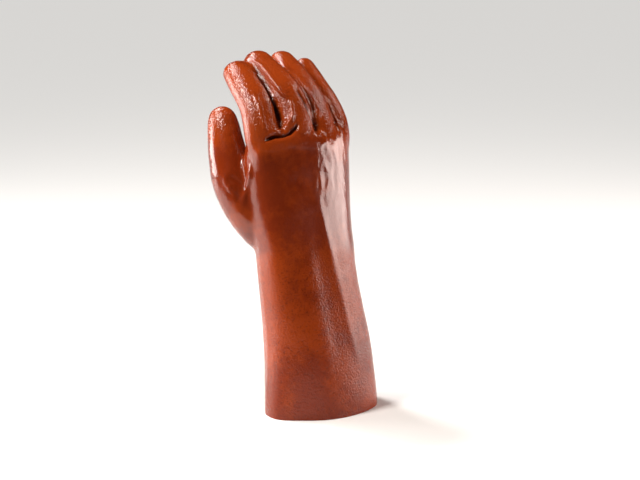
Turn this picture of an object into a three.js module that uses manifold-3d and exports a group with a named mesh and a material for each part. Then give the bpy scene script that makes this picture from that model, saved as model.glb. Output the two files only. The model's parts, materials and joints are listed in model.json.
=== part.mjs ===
// PVC coated gauntlet glove for a right hand: one dipped, hollow shell with a cut cuff, a palm, four half
// curled fingers and a thumb. Millimetres. +Z runs up the forearm from the cuff's rim, on which the glove
// stands, -Y is the back of the hand, +Y the palm, -X the thumb's side and +X the little finger's side.
import * as THREE from "three";
import Module from "manifold-3d";

// Driving dimensions
const WALL = 1.6; // cloth and coating together
const FOREARM_LENGTH = 146; // cuff's rim to the wrist
const PALM_LENGTH = 110; // wrist to the webs between the fingers
const CUFF_WIDTH = 105;
const CUFF_DEPTH = 78;
const WRIST_WIDTH = 92;
const WRIST_DEPTH = 64;
const PALM_WIDTH = 103;
const PALM_DEPTH = 44;
const ARCH = 6; // how far the sides of the hand fall back behind its middle
const FINGER_LENGTH = 117; // middle finger, from inside the hand to its tip
const FINGER_WIDTH = 30;
const FINGER_DEPTH = 25;
const THUMB_LENGTH = 144; // from inside the heel of the hand to the tip
const THUMB_WIDTH = 42;
const THUMB_DEPTH = 35;
const DIGIT_SQUARE = 2.15; // exponent of the digits' rounded section
const SEAM_HEIGHT = 0.9; // the side seams of the cloth show through the coating as low ridges
const SEAM_WIDTH = 4.2;
const WRIST_ACROSS = -12; // wrist's centre against the cuff's
const WRIST_PALMWARD = 8;

// Fineness of the facets
const HAND_SIDES = 40;
const DIGIT_SIDES = 18;
const DIGIT_STEPS = 14;
const CUT_CLEARANCE = 6; // how far the hollow runs past the cuff's rim, so that it is cut open
const LEAST_HOLLOW = 6; // walls of depth that a section of the hand has at least, for the hollow to reach it
const POLE_RISE = 1; // how far the pole between the fingers stands above the hand's last section
const TIP_TILTS = [30, 55, 75]; // degrees round a digit's end at which it gets a section

const WRIST = FOREARM_LENGTH;
const WEBS = FOREARM_LENGTH + PALM_LENGTH;

// Gauntlet: height as a share of FOREARM_LENGTH, flare as a share of the way from the wrist's size to the
// cuff's.
const GAUNTLET = [
  { height: 0.0, flare: 1.0 },
  { height: 0.08, flare: 0.97 },
  { height: 0.18, flare: 0.9 },
  { height: 0.3, flare: 0.8 },
  { height: 0.42, flare: 0.67 },
  { height: 0.54, flare: 0.52 },
  { height: 0.66, flare: 0.36 },
  { height: 0.78, flare: 0.2 },
  { height: 0.9, flare: 0.07 },
];

// Hand: up is a share of PALM_LENGTH above the wrist, wide of PALM_WIDTH and deep of PALM_DEPTH. across is a
// share of PALM_WIDTH and palmward of PALM_DEPTH, both from the wrist's centre, and arch of ARCH. square is
// the exponent of the rounded section, 2 for an ellipse, and bevel the same where the back falls off towards
// the little finger's side.
const HAND = [
  { up: 0.02, wide: 0.89, deep: 1.45, across: 0.0, palmward: 0.0, arch: 0.0, square: 2.35, bevel: 2.1 },
  { up: 0.13, wide: 0.9, deep: 1.38, across: -0.014, palmward: 0.0, arch: 0.1, square: 2.35, bevel: 2.0 },
  { up: 0.25, wide: 0.915, deep: 1.3, across: -0.026, palmward: 0.0, arch: 0.25, square: 2.35, bevel: 1.95 },
  { up: 0.37, wide: 0.93, deep: 1.2, across: -0.036, palmward: -0.01, arch: 0.4, square: 2.4, bevel: 1.9 },
  { up: 0.48, wide: 0.95, deep: 1.12, across: -0.046, palmward: -0.02, arch: 0.55, square: 2.45, bevel: 1.85 },
  { up: 0.59, wide: 0.965, deep: 1.05, across: -0.054, palmward: -0.03, arch: 0.7, square: 2.55, bevel: 1.8 },
  { up: 0.69, wide: 0.98, deep: 0.98, across: -0.061, palmward: -0.04, arch: 0.85, square: 2.6, bevel: 1.8 },
  { up: 0.78, wide: 0.985, deep: 0.92, across: -0.067, palmward: -0.05, arch: 1.0, square: 2.7, bevel: 1.8 },
  { up: 0.86, wide: 0.975, deep: 0.86, across: -0.073, palmward: -0.07, arch: 1.0, square: 2.8, bevel: 1.8 },
  { up: 0.92, wide: 0.955, deep: 0.77, across: -0.078, palmward: -0.085, arch: 1.0, square: 2.8, bevel: 1.8 },
  { up: 0.965, wide: 0.92, deep: 0.62, across: -0.082, palmward: -0.11, arch: 1.0, square: 2.7, bevel: 1.9 },
  { up: 0.99, wide: 0.87, deep: 0.44, across: -0.084, palmward: -0.15, arch: 1.0, square: 2.6, bevel: 2.0 },
  { up: 1.0, wide: 0.8, deep: 0.22, across: -0.084, palmward: -0.18, arch: 1.0, square: 2.5, bevel: 2.2 },
];

// Broad dents and folds of the gauntlet and hand. turn is the angle round the arm in degrees, from the little
// finger's side towards the palm, height a share of the whole height up to the webs, and depth of WALL, below
// zero for what stands out. span is its half width in degrees and rise its half height, a share of that height.
const DENTS = [
  { turn: 192, height: 0.0, depth: -4.6, span: 24, rise: 0.16 }, // cuff's corner on the thumb's side
  { turn: 264, height: 0.06, depth: -2.4, span: 26, rise: 0.3 }, // and in the middle of the back
  { turn: 140, height: 0.74, depth: -6.0, span: 34, rise: 0.13 }, // ball of the thumb
  { turn: 40, height: 0.72, depth: -2.2, span: 30, rise: 0.16 }, // heel of the hand
  { turn: 92, height: 0.56, depth: 1.6, span: 42, rise: 0.06 }, // bend of the wrist
  { turn: 92, height: 0.84, depth: 1.6, span: 26, rise: 0.09 }, // hollow of the palm
  { turn: 90, height: 0.2, depth: 1.4, span: 30, rise: 0.14 }, // slack of the gauntlet under the wrist
  { turn: 270, height: 0.72, depth: 0.9, span: 28, rise: 0.1 }, // back of the hand, flattened
  { turn: 218, height: 0.945, depth: -2.7, span: 22, rise: 0.06 }, // knuckle of the index finger
  { turn: 256, height: 0.97, depth: -1.7, span: 15, rise: 0.05 }, // of the middle finger
  { turn: 287, height: 0.95, depth: -1.0, span: 14, rise: 0.05 }, // of the ring finger
  { turn: 320, height: 0.94, depth: -0.7, span: 16, rise: 0.05 }, // of the little finger
];

// Fingers: across is the base's place as a share of PALM_WIDTH from the wrist's centre, palmward of
// PALM_DEPTH, and start its height of PALM_LENGTH above the wrist. length is a share of FINGER_LENGTH, girth of
// FINGER_WIDTH and FINGER_DEPTH, and turn the way that the finger's back faces in degrees. Each bone has its
// share of the finger's length, its lean to the side and its bend towards the palm, in degrees.
const FINGERS = [
  {
    // index finger
    across: -0.412,
    palmward: -0.07,
    start: 0.745,
    length: 0.889,
    girth: 1.0,
    turn: 20,
    bones: [
      { share: 0.172, lean: -12, bend: -10 },
      { share: 0.14, lean: -3, bend: 11 },
      { share: 0.196, lean: -1, bend: 23 },
      { share: 0.185, lean: -6, bend: 46 },
      { share: 0.307, lean: -3, bend: 54 },
    ],
  },
  {
    // middle finger
    across: -0.156,
    palmward: -0.27,
    start: 0.745,
    length: 1.0,
    girth: 1.0,
    turn: 8,
    bones: [
      { share: 0.174, lean: 2, bend: 0 },
      { share: 0.12, lean: 3, bend: 17 },
      { share: 0.207, lean: -5, bend: 24 },
      { share: 0.195, lean: -21, bend: 47 },
      { share: 0.304, lean: -21, bend: 54 },
    ],
  },
  {
    // ring finger
    across: 0.088,
    palmward: -0.26,
    start: 0.73,
    length: 1.016,
    girth: 0.89,
    turn: -8,
    bones: [
      { share: 0.199, lean: 2, bend: 6 },
      { share: 0.111, lean: 6, bend: 26 },
      { share: 0.186, lean: -7, bend: 32 },
      { share: 0.201, lean: -12, bend: 45 },
      { share: 0.303, lean: -13, bend: 56 },
    ],
  },
  {
    // little finger
    across: 0.316,
    palmward: -0.08,
    start: 0.68,
    length: 0.958,
    girth: 0.72,
    turn: -22,
    bones: [
      { share: 0.202, lean: 4, bend: 8 },
      { share: 0.161, lean: 5, bend: 25 },
      { share: 0.174, lean: -12, bend: 31 },
      { share: 0.168, lean: -10, bend: 47 },
      { share: 0.295, lean: -9, bend: 47 },
    ],
  },
];

// Thumb: the same columns, with across a share of PALM_WIDTH and the bones' shares of THUMB_LENGTH.
const THUMB = {
  across: -0.245,
  palmward: 0.3,
  start: -0.03,
  turn: 50,
  bones: [
    { share: 0.31, lean: -30, bend: 6 },
    { share: 0.195, lean: -25, bend: 14 },
    { share: 0.19, lean: -4, bend: 18 },
    { share: 0.305, lean: -1, bend: 16 },
  ],
};

// Girth along a digit, from inside the hand to its end: along is a share of the length, width and depth of the
// girth.
const FINGER_SHAPE = [
  { along: 0.0, width: 0.8, depth: 0.74 },
  { along: 0.15, width: 0.95, depth: 0.84 },
  { along: 0.22, width: 1.0, depth: 1.0 },
  { along: 0.4, width: 1.0, depth: 0.98 },
  { along: 0.6, width: 1.0, depth: 0.95 },
  { along: 0.78, width: 0.96, depth: 0.9 },
  { along: 0.9, width: 0.88, depth: 0.83 },
  { along: 1.0, width: 0.8, depth: 0.76 },
];
const THUMB_SHAPE = [
  { along: 0.0, width: 0.5, depth: 0.56 },
  { along: 0.2, width: 0.92, depth: 0.92 },
  { along: 0.34, width: 1.0, depth: 1.0 },
  { along: 0.52, width: 0.93, depth: 0.9 },
  { along: 0.7, width: 0.85, depth: 0.8 },
  { along: 0.84, width: 0.74, depth: 0.7 },
  { along: 0.92, width: 0.62, depth: 0.62 },
  { along: 1.0, width: 0.52, depth: 0.56 },
];

const wasm = await Module();
wasm.setup();

const radians = THREE.MathUtils.degToRad;

// A value read off a table's column at a place between its rows.
function readTable(rows, key, column, place) {
  const next = rows.findIndex((row) => row[key] >= place);
  if (next < 0) return rows.at(-1)[column];
  if (next === 0) return rows[0][column];
  const [low, high] = [rows[next - 1], rows[next]];
  const share = THREE.MathUtils.smoothstep(place, low[key], high[key]);
  return THREE.MathUtils.lerp(low[column], high[column], share);
}

// The angles round a section of this depth: even steps, and at each side seam a crest between two feet.
function anglesRound(sides, depth, square) {
  const seamFoot = Math.asin(Math.pow(SEAM_WIDTH / depth, square / 2));
  const angles = [];
  for (let i = 0; i < sides; i++) {
    const angle = (i / sides) * 2 * Math.PI;
    const seam = i === 0 || i === sides / 2;
    if (seam) angles.push({ angle: angle - seamFoot, crest: 0 });
    angles.push({ angle, crest: seam ? 1 : 0 });
    if (seam) angles.push({ angle: angle + seamFoot, crest: 0 });
  }
  return angles;
}

// One section's outline: a rounded box round its centre, in the plane of the across and through directions.
function outline(section, angles) {
  const { centre, across, through, halfWidth, halfDepth, square, bevel, arch, crestHeight, dent } = section;
  return angles.map(({ angle, crest }) => {
    const [c, s] = [Math.cos(angle), Math.sin(angle)];
    const power = 2 / (c > 0 && s < 0 ? bevel : square);
    const round = (v) => Math.sign(v) * Math.pow(Math.abs(v), power);
    const inward = dent ? dent(angle) : 0;
    const x = round(c) * (halfWidth - inward) + c * crest * crestHeight;
    const y = round(s) * (halfDepth - inward) + arch * round(c) * round(c);
    return centre.clone().addScaledVector(across, x).addScaledVector(through, y);
  });
}

// A closed body through sections, with a pole at each end.
function loft(sections, angles, firstPole, lastPole) {
  const rings = sections.map((section) => outline(section, angles));
  const points = [firstPole, ...rings.flat(), lastPole];
  const around = angles.length;
  const faces = [];
  const at = (ring, step) => 1 + ring * around + (step % around);
  for (let step = 0; step < around; step++) {
    faces.push(0, at(0, step + 1), at(0, step));
    for (let ring = 0; ring < rings.length - 1; ring++) {
      const [a, b] = [at(ring, step), at(ring, step + 1)];
      const [c, d] = [at(ring + 1, step), at(ring + 1, step + 1)];
      faces.push(a, b, d, a, d, c);
    }
    faces.push(points.length - 1, at(rings.length - 1, step), at(rings.length - 1, step + 1));
  }
  const geometry = new THREE.BufferGeometry().setFromPoints(points);
  return geometry.setIndex(faces);
}

// A closed geometry as a solid that can be joined and cut.
function solidOf(geometry) {
  const vertProperties = new Float32Array(geometry.getAttribute("position").array);
  const triVerts = new Uint32Array(geometry.index.array);
  return new wasm.Manifold(new wasm.Mesh({ numProp: 3, vertProperties, triVerts }));
}

// How far the broad dents push the wall in at an angle and a height.
function dentAt(angle, height) {
  let inward = 0;
  for (const { turn, height: middle, depth, span, rise } of DENTS) {
    let off = THREE.MathUtils.radToDeg(angle) - turn;
    off -= 360 * Math.round(off / 360);
    const reach = (off / span) ** 2 + ((height / WEBS - middle) / rise) ** 2;
    inward += depth * WALL * Math.exp(-reach);
  }
  return inward;
}

// Gauntlet and hand as one tube, inset by the wall where it is the hollow.
function forearmAndHand(inset) {
  const hollow = inset > 0;
  const rows = GAUNTLET.map(({ height, flare }) => ({
    z: height * WRIST,
    x: WRIST_ACROSS * (1 - flare),
    y: WRIST_PALMWARD * (1 - flare),
    width: THREE.MathUtils.lerp(WRIST_WIDTH, CUFF_WIDTH, flare),
    depth: THREE.MathUtils.lerp(WRIST_DEPTH, CUFF_DEPTH, flare),
    arch: 0,
    square: HAND[0].square,
    bevel: THREE.MathUtils.lerp(HAND[0].bevel, HAND[0].square, flare),
  }));
  if (hollow) rows.unshift({ ...rows[0], z: -CUT_CLEARANCE });
  for (const { up, wide, deep, across, palmward, arch, square, bevel } of HAND)
    rows.push({
      z: WRIST + up * PALM_LENGTH,
      x: WRIST_ACROSS + across * PALM_WIDTH,
      y: WRIST_PALMWARD + palmward * PALM_DEPTH,
      width: wide * PALM_WIDTH,
      depth: deep * PALM_DEPTH,
      arch: arch * ARCH,
      square,
      bevel,
    });
  const sections = rows
    .filter(({ depth, z }) => !hollow || (depth > LEAST_HOLLOW * inset && z < WEBS - inset))
    .map(({ z, x, y, width, depth, arch, square, bevel }) => ({
      centre: new THREE.Vector3(x, y - arch / 2, z),
      across: new THREE.Vector3(1, 0, 0),
      through: new THREE.Vector3(0, 1, 0),
      halfWidth: width / 2 - inset,
      halfDepth: depth / 2 - inset,
      square,
      bevel,
      arch,
      crestHeight: hollow ? 0 : SEAM_HEIGHT,
      dent: (angle) => dentAt(angle, z),
    }));
  const angles = anglesRound(HAND_SIDES, CUFF_DEPTH, HAND[0].square);
  const top = sections.at(-1).centre.clone().setZ(WEBS + POLE_RISE - inset);
  return solidOf(loft(sections, angles, sections[0].centre, top));
}

// A finger's or thumb's tube: it starts inside the hand, follows its bones and ends round.
function digit({ start, bones, length, width, depth, turn, shape }, inset) {
  const joints = [start.clone()];
  for (const { share, lean, bend } of bones) {
    const [l, b] = [radians(lean), radians(bend)];
    const way = new THREE.Vector3(Math.sin(l) * Math.cos(b), Math.sin(b), Math.cos(l) * Math.cos(b));
    joints.push(joints.at(-1).clone().addScaledVector(way, share * length));
  }
  const spine = new THREE.CatmullRomCurve3(joints, false, "centripetal");
  const tipRadius = (depth / 2) * shape.at(-1).depth;
  const roundFrom = 1 - tipRadius / length;
  const side = new THREE.Vector3(Math.cos(radians(-turn)), Math.sin(radians(-turn)), 0);
  const steps = [];
  for (let i = 0; i < DIGIT_STEPS; i++) steps.push((i / (DIGIT_STEPS - 1)) * roundFrom);
  for (const tilt of TIP_TILTS) steps.push(roundFrom + Math.sin(radians(tilt)) * (1 - roundFrom));
  const sections = steps.map((along) => {
    const place = along * (1 - inset / length);
    const forward = spine.getTangentAt(place);
    const through = new THREE.Vector3().crossVectors(forward, side).normalize();
    const across = new THREE.Vector3().crossVectors(through, forward);
    const over = Math.max(0, (along - roundFrom) / (1 - roundFrom));
    const shrink = Math.sqrt(1 - over * over);
    return {
      centre: spine.getPointAt(place),
      across,
      through,
      halfWidth: ((width / 2) * readTable(shape, "along", "width", along) - inset) * shrink,
      halfDepth: ((depth / 2) * readTable(shape, "along", "depth", along) - inset) * shrink,
      square: DIGIT_SQUARE,
      bevel: DIGIT_SQUARE,
      arch: 0,
      crestHeight: inset > 0 ? 0 : SEAM_HEIGHT * shrink,
    };
  });
  const angles = anglesRound(DIGIT_SIDES, depth, DIGIT_SQUARE);
  return solidOf(loft(sections, angles, sections[0].centre, spine.getPointAt(1 - inset / length)));
}

// A digit's start inside the hand.
function startOf({ across, palmward, start }) {
  return new THREE.Vector3(
    WRIST_ACROSS + across * PALM_WIDTH,
    WRIST_PALMWARD + palmward * PALM_DEPTH,
    WRIST + start * PALM_LENGTH,
  );
}

// The whole glove's form, joined: the outside with no inset, the hollow with the wall as its inset.
function wholeForm(inset) {
  let form = forearmAndHand(inset);
  for (const finger of FINGERS) {
    const tube = {
      ...finger,
      start: startOf(finger),
      length: finger.length * FINGER_LENGTH,
      width: finger.girth * FINGER_WIDTH,
      depth: finger.girth * FINGER_DEPTH,
      shape: FINGER_SHAPE,
    };
    form = form.add(digit(tube, inset));
  }
  const thumb = {
    ...THUMB,
    start: startOf(THUMB),
    length: THUMB_LENGTH,
    width: THUMB_WIDTH,
    depth: THUMB_DEPTH,
    shape: THUMB_SHAPE,
  };
  return form.add(digit(thumb, inset));
}

// A solid back as a geometry to show.
function geometryOf(solid) {
  const { numProp, vertProperties, triVerts } = solid.getMesh();
  const points = [];
  for (let i = 0; i < vertProperties.length; i += numProp)
    points.push(vertProperties[i], vertProperties[i + 1], vertProperties[i + 2]);
  const geometry = new THREE.BufferGeometry();
  geometry.setAttribute("position", new THREE.Float32BufferAttribute(points, 3));
  geometry.setIndex(new THREE.BufferAttribute(triVerts, 1));
  geometry.computeVertexNormals();
  return geometry;
}

// Moves a geometry so that its box stands on the floor, centred over the origin.
function standOnOrigin(geometry) {
  geometry.computeBoundingBox();
  const { min, max } = geometry.boundingBox;
  return geometry.translate(-(min.x + max.x) / 2, -(min.y + max.y) / 2, -min.z);
}

const coatedCloth = new THREE.MeshStandardMaterial({ color: 0x8a3412, roughness: 0.35, metalness: 0 });
const shell = wholeForm(0).subtract(wholeForm(WALL));
const glove = new THREE.Mesh(standOnOrigin(geometryOf(shell)), coatedCloth);
glove.name = "glove_shell";

const part = new THREE.Group();
part.add(glove);

export default part;
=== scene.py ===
"""A PVC coated gauntlet work glove for the right hand, standing on its cut cuff.

The glove is modelled from the fixed frame's own shell: its outer skin is remeshed fine, given the folds,
creases and wrinkles of the real coating, and then its wall. Lengths are in metres, unless a name says
millimetres or pixels.
"""

import json
import math

import bpy
import numpy as np
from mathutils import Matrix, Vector, noise
from mathutils.bvhtree import BVHTree

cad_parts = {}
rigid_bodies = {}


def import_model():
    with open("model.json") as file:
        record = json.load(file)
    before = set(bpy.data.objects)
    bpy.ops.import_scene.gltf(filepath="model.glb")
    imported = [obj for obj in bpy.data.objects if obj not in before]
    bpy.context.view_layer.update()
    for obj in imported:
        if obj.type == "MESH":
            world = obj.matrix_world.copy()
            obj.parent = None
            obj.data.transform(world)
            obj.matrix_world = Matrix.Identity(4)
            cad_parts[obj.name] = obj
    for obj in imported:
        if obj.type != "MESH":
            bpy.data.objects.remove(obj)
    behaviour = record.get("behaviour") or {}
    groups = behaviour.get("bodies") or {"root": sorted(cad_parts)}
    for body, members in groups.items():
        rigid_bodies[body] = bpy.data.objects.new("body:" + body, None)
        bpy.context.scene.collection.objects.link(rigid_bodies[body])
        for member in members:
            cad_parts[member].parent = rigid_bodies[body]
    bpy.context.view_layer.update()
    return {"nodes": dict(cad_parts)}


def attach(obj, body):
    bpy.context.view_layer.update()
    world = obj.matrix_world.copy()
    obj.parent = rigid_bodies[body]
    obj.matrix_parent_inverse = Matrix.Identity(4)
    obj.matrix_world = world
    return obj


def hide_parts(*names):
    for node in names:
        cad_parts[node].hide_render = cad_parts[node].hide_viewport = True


bl_info = {
    "name": "Dipped gauntlet glove",
    "version": (1, 0, 0),
    "blender": (4, 5, 0),
    "location": "3D View > Sidebar > Glove",
    "description": "Models a PVC coated gauntlet glove round its frame, with its coating, liner and studio",
    "category": "Object",
}

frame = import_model()

SHELL_NODE = "glove_shell"
MM = 0.001

# The photograph's frame, in pixels, and the lens that gives its focal length on a 36 mm wide sensor.
PHOTO_WIDTH = 640
PHOTO_HEIGHT = 480
SENSOR_WIDTH_MM = 36.0

# Folds of the back, drawn through pixels of the photograph. half_width and height are in millimetres, and a
# height below zero is a groove. ends is the share of a fold's length over which it fades in and out.
FOLDS_IN_PHOTO = [
    {
        "name": "knuckle crease",
        "path": [(263, 143), (268, 139.5), (275, 136.5), (283, 135.5), (290, 133), (296, 128), (299, 121.5)],
        "half_width": 1.6,
        "height": -3.6,
        "ends": 0.2,
    },
    {
        "name": "roll over the knuckle crease",
        "path": [(270, 132), (280, 131), (287, 127), (291, 119), (293, 110)],
        "half_width": 2.4,
        "height": 1.3,
        "ends": 0.25,
    },
    {
        "name": "roll under the knuckle crease",
        "path": [(268, 147), (278, 142), (290, 139.5), (299, 134)],
        "half_width": 2.6,
        "height": 0.5,
        "ends": 0.35,
    },
    {
        "name": "ridge of the middle finger",
        "path": [(248, 58), (262, 66), (273, 80), (282, 93), (290, 99)],
        "half_width": 1.8,
        "height": 1.7,
        "ends": 0.15,
    },
    {
        "name": "valley between the index and middle fingers",
        "path": [(250, 60), (258, 72), (267, 87), (274, 103), (279, 119), (281, 129)],
        "half_width": 2.4,
        "height": -2.4,
        "ends": 0.2,
    },
    {
        "name": "short upright ridge of the middle finger",
        "path": [(289, 97), (292, 105), (293, 114), (291, 125)],
        "half_width": 1.7,
        "height": 1.5,
        "ends": 0.3,
    },
    {
        "name": "ridge of the index finger",
        "path": [(252, 90), (259, 104), (263, 120), (266, 135)],
        "half_width": 1.8,
        "height": 1.2,
        "ends": 0.25,
    },
    {
        "name": "valley towards the ring finger's knuckle",
        "path": [(294, 84), (304, 100), (310, 113), (315, 127), (318, 138)],
        "half_width": 1.9,
        "height": -1.8,
        "ends": 0.2,
    },
    {
        "name": "ridge of the ring finger",
        "path": [(276, 57), (290, 73), (303, 88), (312, 98), (318, 110), (316, 125)],
        "half_width": 2.5,
        "height": 1.7,
        "ends": 0.15,
    },
    {
        "name": "ridge between the ring and little fingers",
        "path": [(322, 92), (328, 104), (334, 117), (340, 130), (343, 142)],
        "half_width": 1.8,
        "height": 1.3,
        "ends": 0.25,
    },
    {
        "name": "soft fold under the knuckles",
        "path": [(258, 154), (272, 157), (286, 158), (300, 156)],
        "half_width": 4.5,
        "height": 0.3,
        "ends": 0.35,
    },
    {
        "name": "web of the thumb",
        "path": [(251, 160), (250, 176), (246, 192), (241, 209)],
        "half_width": 2.4,
        "height": 1.8,
        "ends": 0.3,
    },
    {
        "name": "roll on the ball of the thumb",
        "path": [(222, 172), (227, 183), (233, 194), (239, 206)],
        "half_width": 2.6,
        "height": 1.1,
        "ends": 0.3,
    },
    {
        "name": "upper crease of the thumb's root",
        "path": [(229, 176), (237, 181), (244, 188)],
        "half_width": 1.8,
        "height": -0.9,
        "ends": 0.4,
    },
    {
        "name": "lower crease of the thumb's root",
        "path": [(226, 190), (234, 196), (241, 204)],
        "half_width": 1.8,
        "height": -0.8,
        "ends": 0.4,
    },
    {
        "name": "ridge down the little finger's side",
        "path": [(317, 186), (323, 222), (332, 258), (341, 294), (351, 334), (361, 374)],
        "half_width": 4.5,
        "height": 1.5,
        "ends": 0.2,
    },
    {
        "name": "shallow valley before that ridge",
        "path": [(309, 215), (318, 255), (327, 295), (338, 345), (346, 385)],
        "half_width": 7.0,
        "height": -1.0,
        "ends": 0.3,
    },
]

# Folds at least this wide, in millimetres, get no painted shade along their hollows.
BROAD_FOLD = 4.0

# Areas of fine wrinkles: a centre in pixels of the photograph, half sizes across and up in millimetres, the
# height of the wrinkles and the spacing of their crests in millimetres.
WRINKLES_IN_PHOTO = [
    {
        "name": "back of the little finger's side",
        "centre": (332, 182),
        "half_size": (15, 40),
        "height": 0.5,
        "spacing": 7.0,
    },
    {
        "name": "back of the hand",
        "centre": (288, 182),
        "half_size": (24, 26),
        "height": 0.22,
        "spacing": 9.0,
    },
    {
        "name": "knuckle of the little finger",
        "centre": (330, 140),
        "half_size": (13, 14),
        "height": 0.45,
        "spacing": 6.0,
    },
    {
        "name": "ball of the thumb",
        "centre": (232, 190),
        "half_size": (12, 16),
        "height": 0.5,
        "spacing": 6.0,
    },
]

# The coating by height over the floor: where the smooth hand turns into the grainy gauntlet, where the
# fingers get their finer grain, and how far its colour shifts towards the thin coating's from one height to
# another: painted light on the forearm and the fingers, and painted shade on the back of the hand and at the
# hem.
GAUNTLET_TURN = (0.205, 0.09)
FINGER_TURN = (0.235, 0.27)
PAINTED_LIGHT_AND_SHADE_BY_HEIGHT = [
    {"name": "wrist", "heights": (0.11, 0.21), "change": (0.07, -0.10)},
    {"name": "fingers", "heights": (0.225, 0.27), "change": (0.0, 0.20)},
    {"name": "hem", "heights": (0.09, 0.02), "change": (0.0, -0.12)},
]

# How many features in a metre each pattern of the coating and the liner has.
CLOUDS = 24.0
PATCHES = 130.0
STREAKS = 70.0
GRAIN = 600.0
ORANGE_PEEL = 330.0
RIPPLES = 120.0
GRANULES = 620.0
GRANULE_GROUPS = 210.0
KNIT_ROWS = 330.0
KNIT_LOOPS = 1100.0
STAINS = 60.0

# How deep each pattern is on the surface.
RIPPLE_DEPTH = 0.4 * MM
ORANGE_PEEL_DEPTH = 0.2 * MM
GRAIN_DEPTH = 0.6 * MM
GRANULE_DEPTH = 1.3 * MM
KNIT_DEPTH = 0.4 * MM

# The share of broad clouds in the colour's pattern, and of the colour's brightness left in the painted
# shade of grooves and of the grain's pits.
CLOUD_SHARE = 0.82
GROOVE_SHADE = 0.35

# Softboxes that face the glove: name, azimuth and elevation in degrees, distance, width and height,
# brightness and colour.
SOFTBOXES = [
    ("key_softbox", -84, 44, 1.1, (0.29, 0.29), 53.0, (1.0, 0.95, 0.88)),
    ("left_softbox", -130, 10, 1.1, (0.6, 0.5), 13.0, (1.0, 0.96, 0.92)),
    ("right_softbox", 66, 2, 1.1, (1.08, 0.42), 7.8, (1.0, 0.84, 0.78)),
    ("high_right_softbox", 84, 42, 1.2, (0.3, 0.2), 16.0, (1.0, 0.92, 0.84)),
]

# The hard light from behind: azimuth and elevation in degrees, width in degrees, strength and colour.
BACK_LIGHT = (-158, 55, 16, 2.9, (1.0, 0.98, 0.95))


class GloveForm(bpy.types.PropertyGroup):
    """Sizes of the dipped shell."""

    wall: bpy.props.FloatProperty(
        name="Wall",
        description="Thickness of the cloth and its coating together",
        default=1.6 * MM,
        min=0.5 * MM,
        max=4 * MM,
        unit="LENGTH",
    )
    detail: bpy.props.FloatProperty(
        name="Detail",
        description="Size of the faces that the folds are shaped on",
        default=2.15 * MM,
        min=1 * MM,
        max=5 * MM,
        unit="LENGTH",
    )
    rounding: bpy.props.IntProperty(
        name="Rounding",
        description="How often the skin is smoothed, which rounds the joins of the fingers and the hand",
        default=9,
        min=0,
        max=60,
    )
    fold_strength: bpy.props.FloatProperty(
        name="Fold strength",
        description="How strong the folds and wrinkles are against the real glove's",
        default=1.0,
        min=0.0,
        max=2.0,
        subtype="FACTOR",
    )


class GloveFinish(bpy.types.PropertyGroup):
    """Colours and gloss of the coating and the liner."""

    coating: bpy.props.FloatVectorProperty(
        name="Coating",
        description="Main colour of the coating",
        default=(0.19, 0.021, 0.003),
        min=0.0,
        max=1.0,
        size=3,
        subtype="COLOR",
    )
    # Also the colour that the painted light by height moves towards.
    thin_coating_and_painted_light: bpy.props.FloatVectorProperty(
        name="Thin coating",
        description="Colour where the coating is thin and warmer",
        default=(0.30, 0.039, 0.004),
        min=0.0,
        max=1.0,
        size=3,
        subtype="COLOR",
    )
    liner: bpy.props.FloatVectorProperty(
        name="Liner",
        description="Colour of the knitted cotton inside",
        default=(0.72, 0.62, 0.50),
        min=0.0,
        max=1.0,
        size=3,
        subtype="COLOR",
    )
    hand_roughness: bpy.props.FloatProperty(
        name="Hand roughness",
        description="Roughness of the wet looking coating on the hand",
        default=0.14,
        min=0.0,
        max=1.0,
        subtype="FACTOR",
    )
    forearm_roughness: bpy.props.FloatProperty(
        name="Forearm roughness",
        description="Roughness of the grainy coating on the gauntlet",
        default=0.20,
        min=0.0,
        max=1.0,
        subtype="FACTOR",
    )


class GloveStage(bpy.types.PropertyGroup):
    """The studio and its camera."""

    azimuth: bpy.props.FloatProperty(
        name="Azimuth",
        description="Where the camera stands round the glove, towards the thumb's side below zero",
        default=math.radians(-30.0),
        subtype="ANGLE",
    )
    elevation: bpy.props.FloatProperty(
        name="Elevation",
        description="How high the camera looks down from",
        default=math.radians(11.8),
        subtype="ANGLE",
    )
    distance: bpy.props.FloatProperty(
        name="Distance",
        description="From the camera to the middle of the glove",
        default=1.33,
        min=0.3,
        max=10.0,
        unit="LENGTH",
    )
    target: bpy.props.FloatVectorProperty(
        name="Target",
        description="The point that the camera looks at",
        default=(0.0175, -0.0088, 0.154),
        size=3,
        subtype="TRANSLATION",
        unit="LENGTH",
    )
    focal_pixels: bpy.props.FloatProperty(
        name="Focal length in pixels",
        description="Focal length of the photograph's lens, in pixels of its 640 wide frame",
        default=1480.0,
        min=100.0,
        max=10000.0,
    )
    floor: bpy.props.FloatVectorProperty(
        name="Floor",
        description="Colour of the floor and backdrop",
        default=(0.90, 0.90, 0.90),
        min=0.0,
        max=1.0,
        size=3,
        subtype="COLOR",
    )
    card: bpy.props.FloatVectorProperty(
        name="Card",
        description="Colour of the card on the floor before the glove",
        default=(0.02, 0.02, 0.02),
        min=0.0,
        max=1.0,
        size=3,
        subtype="COLOR",
    )


def deselect_everything():
    """Leaves object mode with nothing selected."""
    if bpy.context.object is not None and bpy.context.object.mode != "OBJECT":
        bpy.ops.object.mode_set(mode="OBJECT")
    bpy.ops.object.select_all(action="DESELECT")


def select_only(obj):
    """Selects one object and makes it the active one."""
    deselect_everything()
    obj.select_set(True)
    bpy.context.view_layer.objects.active = obj


def apply_modifier(obj, kind, **values):
    """Adds a modifier with these values to the object and applies it."""
    select_only(obj)
    bpy.ops.object.modifier_add(type=kind)
    modifier = obj.modifiers[-1]
    for name, value in values.items():
        setattr(modifier, name, value)
    bpy.ops.object.modifier_apply(modifier=modifier.name)


def points_of(obj):
    """The mesh's vertices as an array."""
    points = np.empty(len(obj.data.vertices) * 3)
    obj.data.vertices.foreach_get("co", points)
    return points.reshape(-1, 3)


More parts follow.
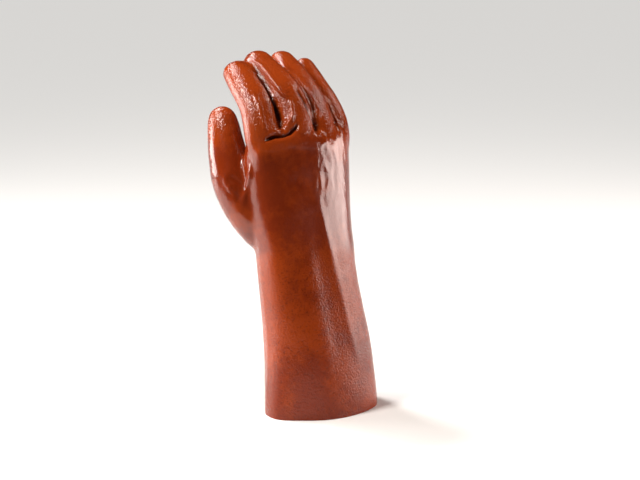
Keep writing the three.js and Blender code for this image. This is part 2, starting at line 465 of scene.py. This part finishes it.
def normals_of(obj):
    """The mesh's vertex normals as an array."""
    normals = np.empty(len(obj.data.vertices) * 3)
    obj.data.vertex_normals.foreach_get("vector", normals)
    return normals.reshape(-1, 3)


def set_points(obj, points):
    """Moves the mesh's vertices."""
    obj.data.vertices.foreach_set("co", points.ravel())
    obj.data.update()


def select_vertices(obj, chosen):
    """Selects these vertices in object mode, ready for edit mode, and the faces and edges that they make."""
    for part in (obj.data.polygons, obj.data.edges):
        part.foreach_set("select", np.zeros(len(part), bool))
    obj.data.vertices.foreach_set("select", chosen)


def copy_of_shell():
    """A merged copy of the frame's shell, for a fine skin to be made of."""
    node = frame["nodes"][SHELL_NODE]
    skin = bpy.data.objects.new("dipped_shell", node.data.copy())
    bpy.context.scene.collection.objects.link(skin)
    skin.data.materials.clear()
    select_only(skin)
    bpy.ops.object.mode_set(mode="EDIT")
    bpy.ops.mesh.select_all(action="SELECT")
    bpy.ops.mesh.remove_doubles(threshold=0.01 * MM)
    bpy.ops.object.mode_set(mode="OBJECT")
    return skin


def keep_outer_skin(skin):
    """Opens the shell at its rim, and keeps the outer of its two skins, closed again below the floor."""
    rim_height = 0.05 * MM
    below_floor = 12 * MM
    on_rim = points_of(skin)[:, 2] < rim_height
    select_vertices(skin, on_rim)
    bpy.ops.object.mode_set(mode="EDIT")
    bpy.ops.mesh.select_mode(type="VERT")
    bpy.ops.mesh.select_mode(type="FACE")
    bpy.ops.mesh.delete(type="FACE")
    bpy.ops.mesh.select_mode(type="VERT")
    bpy.ops.mesh.select_all(action="DESELECT")
    bpy.ops.object.mode_set(mode="OBJECT")
    points = points_of(skin)
    select_vertices(skin, points[:, 2] == points[:, 2].max())
    bpy.ops.object.mode_set(mode="EDIT")
    bpy.ops.mesh.select_linked()
    bpy.ops.mesh.select_all(action="INVERT")
    bpy.ops.mesh.delete(type="VERT")
    bpy.ops.mesh.select_all(action="DESELECT")
    bpy.ops.object.mode_set(mode="OBJECT")
    select_vertices(skin, points_of(skin)[:, 2] < rim_height)
    bpy.ops.object.mode_set(mode="EDIT")
    bpy.ops.mesh.extrude_region_move(TRANSFORM_OT_translate={"value": (0, 0, -below_floor)})
    bpy.ops.mesh.edge_face_add()
    bpy.ops.object.mode_set(mode="OBJECT")


def refine_knuckles(skin, stage):
    """Splits the faces of the knuckles and the fingers' backs, where the sharpest folds are."""
    lowest, highest = 0.205, 0.295
    towards_camera = 0.15
    points, normals = points_of(skin), normals_of(skin)
    _, _, _, back = camera_axes(stage)
    heights = points[:, 2]
    chosen = (heights > lowest) & (heights < highest) & (normals @ np.array(back) > towards_camera)
    select_only(skin)
    bpy.ops.object.mode_set(mode="EDIT")
    bpy.ops.mesh.select_mode(type="VERT")
    bpy.ops.mesh.select_all(action="DESELECT")
    bpy.ops.object.mode_set(mode="OBJECT")
    select_vertices(skin, chosen)
    bpy.ops.object.mode_set(mode="EDIT")
    bpy.ops.mesh.subdivide(number_cuts=1, smoothness=1.0)
    bpy.ops.object.mode_set(mode="OBJECT")


def cut_at_floor(skin):
    """Cuts the skin off at the floor, which leaves the cuff's open rim."""
    select_only(skin)
    bpy.ops.object.mode_set(mode="EDIT")
    bpy.ops.mesh.select_all(action="SELECT")
    bpy.ops.mesh.bisect(plane_co=(0, 0, 0), plane_no=(0, 0, 1), clear_inner=True)
    bpy.ops.object.mode_set(mode="OBJECT")


def camera_axes(stage):
    """The camera's place, and its right, up and backward directions."""
    sin_a, cos_a = math.sin(stage.azimuth), math.cos(stage.azimuth)
    sin_e, cos_e = math.sin(stage.elevation), math.cos(stage.elevation)
    back = Vector((sin_a * cos_e, -cos_a * cos_e, sin_e))
    right = Vector((cos_a, sin_a, 0.0))
    up = back.cross(right)
    return Vector(stage.target) + back * stage.distance, right, up, back


class PhotoSight:
    """Finds where a pixel of the photograph meets the glove."""

    def __init__(self, skin, stage):
        self.eye, self.right, self.up, self.back = camera_axes(stage)
        self.focal = stage.focal_pixels
        self.tree = BVHTree.FromPolygons(
            [v.co for v in skin.data.vertices], [tuple(p.vertices) for p in skin.data.polygons]
        )

    def meets(self, pixel):
        """The point and normal under a pixel, or those of the nearest point for a pixel off the outline."""
        across = (pixel[0] - PHOTO_WIDTH / 2) / self.focal
        upward = (PHOTO_HEIGHT / 2 - pixel[1]) / self.focal
        way = (self.right * across + self.up * upward - self.back).normalized()
        point, normal, _, _ = self.tree.ray_cast(self.eye, way)
        if point is None:
            middle = self.eye + way * (Vector((0, 0, 0)) - self.eye).length
            point, normal, _, _ = self.tree.find_nearest(middle)
        return np.array(point), np.array(normal)


def resample(path, step):
    """Points along a line through the path's points, about a step apart."""
    path = np.array(path, float)
    lengths = np.linalg.norm(np.diff(path, axis=0), axis=1)
    reach = np.concatenate([[0.0], np.cumsum(lengths)])
    count = max(2, int(reach[-1] / step) + 1)
    at = np.linspace(0.0, reach[-1], count)
    return np.stack([np.interp(at, reach, path[:, k]) for k in range(path.shape[1])], 1)


def fold_rise(points, normals, line, line_normals, half_width, height, ends):
    """How far one fold lifts each vertex: a smooth ridge along a line, faded at its two ends."""
    reach = 3 * half_width
    low, high = line.min(0) - reach, line.max(0) + reach
    near = np.flatnonzero(((points > low) & (points < high)).all(1))
    rise = np.zeros(len(points))
    if not len(near):
        return rise
    gaps = np.linalg.norm(points[near, None, :] - line[None, :, :], axis=2)
    nearest = gaps.argmin(1)
    gap = gaps[np.arange(len(near)), nearest]
    along = nearest / (len(line) - 1)
    fade = np.clip(np.minimum(along, 1 - along) / ends, 0, 1)
    fade = fade * fade * (3 - 2 * fade)
    facing = np.clip((normals[near] * line_normals[nearest]).sum(1) * 2, 0, 1)
    rise[near] = height * np.exp(-((gap / half_width) ** 2)) * fade * facing
    return rise


def photo_folds(folds, points, normals, sight, strength):
    """The lift of these folds of the photograph."""
    pixel_step = 1.0
    rise = np.zeros(len(points))
    for fold in folds:
        met = [sight.meets(pixel) for pixel in resample(fold["path"], pixel_step)]
        line = np.array([point for point, _ in met])
        line_normals = np.array([normal for _, normal in met])
        rise += fold_rise(
            points,
            normals,
            line,
            line_normals,
            fold["half_width"] * MM,
            fold["height"] * MM * strength,
            fold["ends"],
        )
    return rise


def noise_at(points, scale, seed):
    """Smooth noise from -1 to 1 at each point, with features of about this size."""
    shift = Vector((seed * 3.7, seed * 1.3, seed * 5.1))
    return np.array([noise.noise(Vector(p) / scale + shift) for p in points])


def photo_wrinkles(points, normals, sight, strength):
    """The lift of the areas of fine wrinkles, whose crests run mostly along the arm."""
    along_arm = np.array([1.0, 1.0, 0.42])
    farthest = 4
    least_facing = 0.1
    first_seed = 2
    right, up = np.array(sight.right), np.array(sight.up)
    rise = np.zeros(len(points))
    for seed, area in enumerate(WRINKLES_IN_PHOTO, first_seed):
        centre, facing_way = sight.meets(area["centre"])
        off = points - centre
        half_across, half_up = area["half_size"][0] * MM, area["half_size"][1] * MM
        reach = (off @ right / half_across) ** 2 + (off @ up / half_up) ** 2
        near = np.flatnonzero((reach < farthest) & (normals @ facing_way > least_facing))
        crests = 1 - 2 * np.abs(noise_at(points[near] * along_arm, area["spacing"] * MM, seed))
        rise[near] += area["height"] * MM * strength * crests * np.exp(-reach[near])
    return rise


def slack(points):
    """Slight unevenness of the whole coating, stronger on the gauntlet."""
    broad = noise_at(points, 34 * MM, 11)
    narrow = noise_at(points, 13 * MM, 12)
    gauntlet_height, turn_height = 0.16, 0.05
    broad_on_hand, broad_more = 0.25 * MM, 0.45 * MM
    narrow_on_hand, narrow_more = 0.05 * MM, 0.1 * MM
    on_gauntlet = np.clip((gauntlet_height - points[:, 2]) / turn_height, 0, 1)
    broad_rise = broad * (broad_on_hand + broad_more * on_gauntlet)
    return broad_rise + narrow * (narrow_on_hand + narrow_more * on_gauntlet)


def still_at_rim(points):
    """A share from 0 at the rim to 1 above it, so that the rim stays on the frame's outline."""
    still_height = 18 * MM
    return np.clip(points[:, 2] / still_height, 0, 1)


def paint_groove_shade(shell, rise):
    """Writes how deep each point lies in a groove, for painted shade that darkens the coating's colour
    there.
    """
    deepest = 2.5 * MM
    grooves = np.clip(-rise / deepest, 0, 1)
    attribute = shell.data.attributes.new("groove", "FLOAT", "POINT")
    attribute.data.foreach_set("value", grooves.astype(np.float32))


def paint_grip(shell):
    """Writes where the coating has grip granules: on the palm's side of the glove."""
    edge_noise, edge_noise_size, edge_seed = 0.18, 16 * MM, 21
    side_middle, side_reach, side_share = 10 * MM, 50 * MM, 0.3
    grip_start, grip_spread = 0.15, 0.16
    points, normals = points_of(shell), normals_of(shell)
    uneven = noise_at(points, edge_noise_size, edge_seed) * edge_noise
    towards_palm = np.clip((points[:, 1] - side_middle) / side_reach, -side_share, side_share)
    grip = np.clip((normals[:, 1] + uneven + towards_palm - grip_start) / grip_spread, 0, 1)
    attribute = shell.data.attributes.new("grip", "FLOAT", "POINT")
    attribute.data.foreach_set("value", grip.astype(np.float32))


def add_node(tree, kind, **inputs):
    """A node of a material with these inputs set, by name, and the settings among them."""
    node = tree.nodes.new(kind)
    for name, value in inputs.items():
        if name in node.inputs:
            node.inputs[name].default_value = value
        else:
            setattr(node, name, value)
    return node


def noise_texture(tree, coordinates, scale, detail=3.0, roughness=0.55):
    """Noise on the glove's own coordinates, by its number of features in a metre."""
    node = add_node(tree, "ShaderNodeTexNoise", Scale=scale, Detail=detail, Roughness=roughness)
    tree.links.new(coordinates, node.inputs["Vector"])
    return node.outputs["Fac"]


def ranged(tree, value, low, high, to_low=0.0, to_high=1.0, smooth=True):
    """A value moved from one range to another."""
    node = add_node(tree, "ShaderNodeMapRange")
    node.interpolation_type = "SMOOTHSTEP" if smooth else "LINEAR"
    node.inputs["From Min"].default_value = low
    node.inputs["From Max"].default_value = high
    node.inputs["To Min"].default_value = to_low
    node.inputs["To Max"].default_value = to_high
    tree.links.new(value, node.inputs["Value"])
    return node.outputs["Result"]


def arithmetic(tree, operation, first, second):
    """One sum of two values, each a socket or a number."""
    node = add_node(tree, "ShaderNodeMath", operation=operation)
    for socket, value in zip(node.inputs, (first, second)):
        if isinstance(value, (int, float)):
            socket.default_value = value
        else:
            tree.links.new(value, socket)
    return node.outputs[0]


def mixed_colour(tree, share, first, second):
    """A colour between two, each a socket or a colour."""
    node = add_node(tree, "ShaderNodeMix", data_type="RGBA")
    tree.links.new(share, node.inputs["Factor"])
    for socket, value in ((node.inputs["A"], first), (node.inputs["B"], second)):
        if hasattr(value, "default_value"):
            tree.links.new(value, socket)
        else:
            socket.default_value = (*value, 1.0)
    return node.outputs["Result"]


def bumped(tree, height, distance, strength, after=None):
    """A bump of this depth in metres, on top of another one."""
    node = add_node(tree, "ShaderNodeBump", Strength=strength, Distance=distance)
    tree.links.new(height, node.inputs["Height"])
    if after is not None:
        tree.links.new(after, node.inputs["Normal"])
    return node.outputs["Normal"]


def new_material(name):
    """An empty material with its shader: (node tree, shader node)."""
    material = bpy.data.materials.new(name)
    material.use_nodes = True
    tree = material.node_tree
    return material, tree, tree.nodes["Principled BSDF"]


def attribute_of(tree, name):
    """A value that the mesh holds at its points."""
    return add_node(tree, "ShaderNodeAttribute", attribute_name=name).outputs["Fac"]


def coating_colour(tree, finish, place, height, on_gauntlet, grain):
    """Brighter where the coating is thin, in broad clouds, with painted light and painted shade by height,
    and painted shade that darkens grooves and the grain's pits.
    """
    clouds = noise_texture(tree, place, CLOUDS, 4.0, 0.6)
    patches = noise_texture(tree, place, PATCHES, 3.0, 0.6)
    cloudy = arithmetic(tree, "MULTIPLY", clouds, CLOUD_SHARE)
    thin = arithmetic(tree, "ADD", cloudy, arithmetic(tree, "MULTIPLY", patches, 1 - CLOUD_SHARE))
    # Painted light on the forearm and fingers, painted shade on the back of the hand and at the hem.
    for zone in PAINTED_LIGHT_AND_SHADE_BY_HEIGHT:
        thin = arithmetic(tree, "ADD", thin, ranged(tree, height, *zone["heights"], *zone["change"]))
    colour = mixed_colour(tree, ranged(tree, thin, 0.42, 0.62), finish.coating, finish.thin_coating_and_painted_light)
    # Painted shade: a darker copy of the coating's colour, mixed in along narrow grooves and in the grain's
    # pits.
    painted_shade_colour = tuple(part * GROOVE_SHADE for part in finish.coating)
    grooves = ranged(tree, attribute_of(tree, "groove"), 0.1, 1.0)
    colour = mixed_colour(tree, grooves, colour, painted_shade_colour)
    # Painted shade in the grain's pits, stronger on the gauntlet.
    pit_strength = ranged(tree, on_gauntlet, 0.0, 1.0, 0.15, 0.5)
    pits = arithmetic(tree, "MULTIPLY", ranged(tree, grain, 0.5, 0.3), pit_strength)
    return mixed_colour(tree, pits, colour, painted_shade_colour)


def coating_gloss(tree, shader, finish, place, on_gauntlet):
    """Wet looking on the hand and duller on the gauntlet, with faint streaks."""
    streaks = ranged(tree, noise_texture(tree, place, STREAKS, 3.0), 0.35, 0.7, -0.03, 0.06)
    rough = ranged(
        tree, on_gauntlet, 0.0, 1.0, finish.hand_roughness, finish.forearm_roughness, smooth=False
    )
    tree.links.new(arithmetic(tree, "ADD", rough, streaks), shader.inputs["Roughness"])
    shader.inputs["IOR"].default_value = 1.5
    tree.links.new(ranged(tree, on_gauntlet, 0.0, 1.0, 0.58, 0.3), shader.inputs["Specular IOR Level"])


def coating_bumps(tree, place, height, on_gauntlet, grain):
    """Ripples and orange peel all over, grain on gauntlet and fingers, and granules on the palm's side."""
    granules = add_node(tree, "ShaderNodeTexVoronoi", feature="SMOOTH_F1", Scale=GRANULES, Smoothness=0.35)
    tree.links.new(place, granules.inputs["Vector"])
    domes = ranged(tree, granules.outputs["Distance"], 0.62, 0.12)
    groups = ranged(tree, noise_texture(tree, place, GRANULE_GROUPS, 2.0), 0.36, 0.62)
    grouped = arithmetic(tree, "MULTIPLY", domes, groups)
    grip_height = arithmetic(tree, "MULTIPLY", grouped, attribute_of(tree, "grip"))
    gauntlet_grain = ranged(tree, on_gauntlet, 0.0, 1.0, 0.15, 1.0)
    grainy = arithmetic(tree, "MAXIMUM", gauntlet_grain, ranged(tree, height, *FINGER_TURN))
    grain_height = arithmetic(tree, "MULTIPLY", grain, grainy)
    ripples = noise_texture(tree, place, RIPPLES, 2.0, 0.5)
    orange_peel = noise_texture(tree, place, ORANGE_PEEL, 2.0, 0.5)
    normal = bumped(tree, ripples, RIPPLE_DEPTH, 0.25)
    normal = bumped(tree, orange_peel, ORANGE_PEEL_DEPTH, 0.5, normal)
    normal = bumped(tree, grain_height, GRAIN_DEPTH, 1.0, normal)
    return bumped(tree, grip_height, GRANULE_DEPTH, 1.0, normal)


def coating_material(finish):
    """Dipped PVC: wet and smooth on the hand, grainier on the gauntlet, with granules on the palm's side."""
    material, tree, shader = new_material("pvc_coating")
    place = add_node(tree, "ShaderNodeTexCoord").outputs["Object"]
    apart = add_node(tree, "ShaderNodeSeparateXYZ")
    tree.links.new(place, apart.inputs["Vector"])
    height = apart.outputs["Z"]
    on_gauntlet = ranged(tree, height, *GAUNTLET_TURN)
    grain = noise_texture(tree, place, GRAIN, 2.0, 0.6)
    colour = coating_colour(tree, finish, place, height, on_gauntlet, grain)
    tree.links.new(colour, shader.inputs["Base Color"])
    coating_gloss(tree, shader, finish, place, on_gauntlet)
    tree.links.new(coating_bumps(tree, place, height, on_gauntlet, grain), shader.inputs["Normal"])
    return material


def liner_material(finish):
    """The knitted cotton inside: small loops in rows, a little stained by the coating."""
    material, tree, shader = new_material("cotton_liner")
    place = add_node(tree, "ShaderNodeTexCoord").outputs["Object"]
    rows = add_node(tree, "ShaderNodeTexWave", Scale=KNIT_ROWS, Distortion=1.2, bands_direction="Z")
    rows.inputs["Detail"].default_value = 2.0
    tree.links.new(place, rows.inputs["Vector"])
    loops = noise_texture(tree, place, KNIT_LOOPS, 2.0)
    knit = arithmetic(tree, "ADD", rows.outputs["Fac"], loops)
    stain = ranged(tree, noise_texture(tree, place, STAINS, 4.0), 0.45, 0.75)
    stained = tuple(a * 0.5 + b * 0.5 for a, b in zip(finish.liner, finish.thin_coating_and_painted_light))
    colour = mixed_colour(tree, stain, finish.liner, stained)
    tree.links.new(colour, shader.inputs["Base Color"])
    shader.inputs["Roughness"].default_value = 0.92
    shader.inputs["Specular IOR Level"].default_value = 0.2
    tree.links.new(bumped(tree, knit, KNIT_DEPTH, 0.8), shader.inputs["Normal"])
    return material


class GLOVE_OT_dipped_shell(bpy.types.Operator):
    """Model the dipped shell round the frame's own, with its folds, wall and materials"""

    bl_idname = "glove.dipped_shell"
    bl_label = "Dipped shell"
    bl_options = {"REGISTER", "UNDO"}

    def execute(self, context):
        form, finish = context.scene.glove_form, context.scene.glove_finish
        stage = context.scene.glove_stage
        smooth_angle = math.radians(50)
        shell = copy_of_shell()
        keep_outer_skin(shell)
        apply_modifier(shell, "REMESH", mode="VOXEL", voxel_size=form.detail, adaptivity=0.0)
        apply_modifier(shell, "SMOOTH", factor=0.5, iterations=form.rounding)
        refine_knuckles(shell, stage)
        sight = PhotoSight(shell, stage)
        points, normals = points_of(shell), normals_of(shell)
        sharp = [fold for fold in FOLDS_IN_PHOTO if fold["half_width"] < BROAD_FOLD]
        broad = [fold for fold in FOLDS_IN_PHOTO if fold["half_width"] >= BROAD_FOLD]
        rise = photo_folds(sharp, points, normals, sight, form.fold_strength)
        # Painted shade: the depth of the sharp folds' grooves is kept for darkening the coating's colour
        # there.
        paint_groove_shade(shell, rise)
        rise += photo_folds(broad, points, normals, sight, form.fold_strength)
        rise += photo_wrinkles(points, normals, sight, form.fold_strength)
        rise += slack(points) * form.fold_strength
        set_points(shell, points + normals * (rise * still_at_rim(points))[:, None])
        cut_at_floor(shell)
        paint_grip(shell)
        shell.data.materials.append(coating_material(finish))
        shell.data.materials.append(liner_material(finish))
        apply_modifier(
            shell, "SOLIDIFY", thickness=form.wall, offset=-1.0, material_offset=1, material_offset_rim=1
        )
        select_only(shell)
        bpy.ops.object.shade_smooth_by_angle(angle=smooth_angle)
        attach(shell, "root")
        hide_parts(SHELL_NODE)
        return {"FINISHED"}


def stage_material(name, colour, roughness):
    """A plain material for the floor and backdrop."""
    material, _, shader = new_material(name)
    shader.inputs["Base Color"].default_value = (*colour, 1.0)
    shader.inputs["Roughness"].default_value = roughness
    shader.inputs["Specular IOR Level"].default_value = 0.2
    return material


def direction(azimuth, elevation):
    """The direction at these degrees round and above the glove, with azimuth 0 before its back."""
    turn, tilt = math.radians(azimuth), math.radians(elevation)
    return Vector((math.sin(turn) * math.cos(tilt), -math.cos(turn) * math.cos(tilt), math.sin(tilt)))


def add_softbox(name, place, way, size, brightness, colour):
    """A rectangular area light at a place, that shines against a way, this bright to look at."""
    deselect_everything()
    bpy.ops.object.light_add(type="AREA", location=place)
    light = bpy.context.object
    light.name = name
    light.data.shape = "RECTANGLE"
    light.data.size, light.data.size_y = size
    light.data.energy = brightness * math.pi * size[0] * size[1]
    light.data.color = colour
    light.rotation_euler = way.to_track_quat("Z", "Y").to_euler()
    return light


class GLOVE_OT_studio(bpy.types.Operator):
    """Set up the pale floor, the soft lights and the photograph's camera"""

    bl_idname = "glove.studio"
    bl_label = "Studio"
    bl_options = {"REGISTER", "UNDO"}

    def execute(self, context):
        stage = context.scene.glove_stage
        self.add_floor(stage)
        self.add_lights(context)
        self.add_camera(context, stage)
        return {"FINISHED"}

    def add_floor(self, stage):
        """A wide pale sheet under the glove, and a black card before it that darkens its reflections."""
        floor_size = 60.0
        card_size = (6.0, 4.4)
        card_gap = 0.2
        card_height = 1 * MM
        matt = 0.9
        deselect_everything()
        bpy.ops.mesh.primitive_plane_add(size=floor_size, location=(0, 0, 0))
        floor = bpy.context.object
        floor.name = "studio_floor"
        floor.data.materials.append(stage_material("studio_paper", stage.floor, matt))
        middle = card_gap + card_size[1] / 2
        place = (math.sin(stage.azimuth) * middle, -math.cos(stage.azimuth) * middle, card_height)
        deselect_everything()
        bpy.ops.mesh.primitive_plane_add(size=1.0, location=place, rotation=(0, 0, stage.azimuth))
        bpy.ops.transform.resize(value=(card_size[0], card_size[1], 1.0), orient_type="LOCAL")
        card = bpy.context.object
        card.name = "black_card"
        card.data.materials.append(stage_material("black_paper", stage.card, matt))

    def add_lights(self, context):
        """The softboxes, the hard light from behind and a faint light from all round."""
        middle = Vector((0.0, 0.0, 0.18))
        air_strength = 0.02
        for name, azimuth, elevation, distance, size, brightness, colour in SOFTBOXES:
            way = direction(azimuth, elevation)
            add_softbox(name, middle + way * distance, way, size, brightness, colour)
        azimuth, elevation, width, strength, colour = BACK_LIGHT
        deselect_everything()
        bpy.ops.object.light_add(type="SUN", location=middle + direction(azimuth, elevation))
        back_light = bpy.context.object
        back_light.name = "back_light"
        back_light.data.angle = math.radians(width)
        back_light.data.energy = strength
        back_light.data.color = colour
        back_light.rotation_euler = direction(azimuth, elevation).to_track_quat("Z", "Y").to_euler()
        world = bpy.data.worlds.new("studio_air")
        world.use_nodes = True
        air = world.node_tree.nodes["Background"]
        air.inputs["Color"].default_value = (1.0, 1.0, 1.0, 1.0)
        air.inputs["Strength"].default_value = air_strength
        context.scene.world = world
        context.scene.view_settings.view_transform = "Standard"

    def add_camera(self, context, stage):
        """The camera at the photograph's angle, above the floor."""
        eye, _, _, back = camera_axes(stage)
        farthest_seen = 100.0
        deselect_everything()
        bpy.ops.object.camera_add(location=eye)
        camera = bpy.context.object
        camera.name = "photo_camera"
        camera.rotation_euler = back.to_track_quat("Z", "Y").to_euler()
        camera.data.sensor_width = SENSOR_WIDTH_MM
        camera.data.lens = SENSOR_WIDTH_MM * stage.focal_pixels / PHOTO_WIDTH
        camera.data.clip_end = farthest_seen
        context.scene.camera = camera


class VIEW3D_PT_glove(bpy.types.Panel):
    """Lists the glove's sizes, colours and steps"""

    bl_label = "Glove"
    bl_idname = "VIEW3D_PT_glove"
    bl_space_type = "VIEW_3D"
    bl_region_type = "UI"
    bl_category = "Glove"

    def draw(self, context):
        layout = self.layout
        for group in (context.scene.glove_form, context.scene.glove_finish, context.scene.glove_stage):
            box = layout.box()
            for name in group.bl_rna.properties.keys():
                if name not in {"rna_type", "name"}:
                    box.prop(group, name)
        layout.operator(GLOVE_OT_dipped_shell.bl_idname)
        layout.operator(GLOVE_OT_studio.bl_idname)


CLASSES = (
    GloveForm,
    GloveFinish,
    GloveStage,
    GLOVE_OT_dipped_shell,
    GLOVE_OT_studio,
    VIEW3D_PT_glove,
)


def register():
    """Registers the classes and the scene's groups of settings."""
    for cls in CLASSES:
        bpy.utils.register_class(cls)
    bpy.types.Scene.glove_form = bpy.props.PointerProperty(type=GloveForm)
    bpy.types.Scene.glove_finish = bpy.props.PointerProperty(type=GloveFinish)
    bpy.types.Scene.glove_stage = bpy.props.PointerProperty(type=GloveStage)


def unregister():
    """Removes what register added."""
    del bpy.types.Scene.glove_stage
    del bpy.types.Scene.glove_finish
    del bpy.types.Scene.glove_form
    for cls in reversed(CLASSES):
        bpy.utils.unregister_class(cls)


def main():
    """Makes the glove and its studio."""
    register()
    bpy.ops.glove.dipped_shell()
    bpy.ops.glove.studio()


if __name__ == "__main__":
    main()
